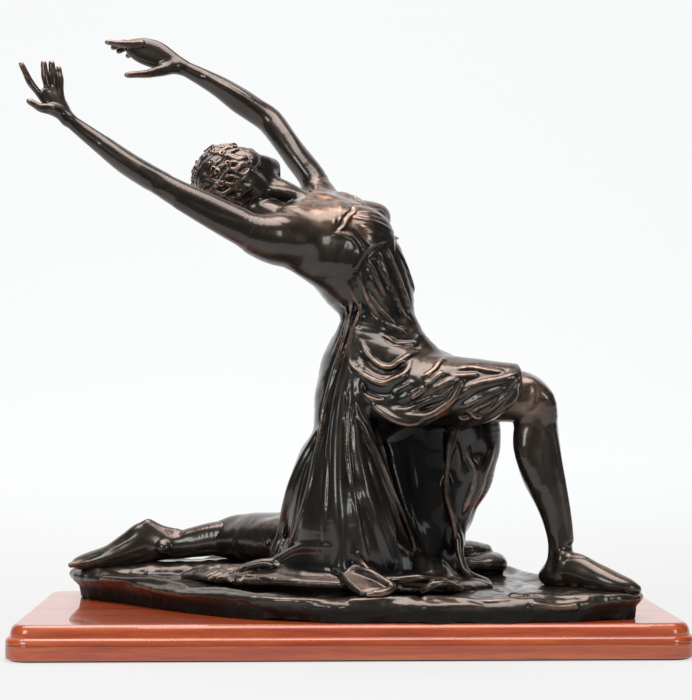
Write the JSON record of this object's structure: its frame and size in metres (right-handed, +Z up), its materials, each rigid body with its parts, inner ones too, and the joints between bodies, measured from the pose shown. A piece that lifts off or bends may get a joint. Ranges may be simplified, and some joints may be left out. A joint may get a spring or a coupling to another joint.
{
  "type": "bronze statuette",
  "caption": "Bronze statuette of a kneeling dancer leaning far back with both arms flung behind, on a moulded timber base.",
  "frame": {"origin": "middle of the underside of the felt, at the height of the surface it stands on", "axes": "+X the way the dancer faces, along the board's length; +Y towards the dancer's left, across the board; +Z up"},
  "size_m": [0.38, 0.18, 0.3679],
  "materials": {
    "stained_timber": "red-brown stain under glossy lacquer",
    "felt": "matt green felt",
    "dress_bronze": "dark brown patina, waxed, rubbed to copper on the ridges of the folds",
    "body_bronze": "dark brown patina, waxed, slightly warmer than the dress",
    "ground_bronze": "near-black patina, waxed, rubbed on the raised rim",
    "bare_bronze": "bare bronze as turned",
    "steel": "zinc plated"
  },
  "bodies": {
    "root": {"wood_base": "stained_timber", "felt_sheet": "felt", "base_screws": "steel", "base_washers": "steel", "base_bosses": "bare_bronze", "ground_casting": "ground_bronze", "figure_screws": "steel", "figure_bosses": "bare_bronze", "skirt_casting": "dress_bronze", "torso_casting": "dress_bronze", "head_casting": "body_bronze", "right_arm_casting": "body_bronze", "left_arm_casting": "body_bronze", "front_leg_casting": "body_bronze", "rear_leg_casting": "body_bronze", "neck_dowel": "bare_bronze", "right_shoulder_dowel": "bare_bronze", "left_shoulder_dowel": "bare_bronze", "waist_dowels": "bare_bronze", "front_leg_dowel": "bare_bronze", "rear_leg_dowel": "bare_bronze"}
  },
  "joints": []
}
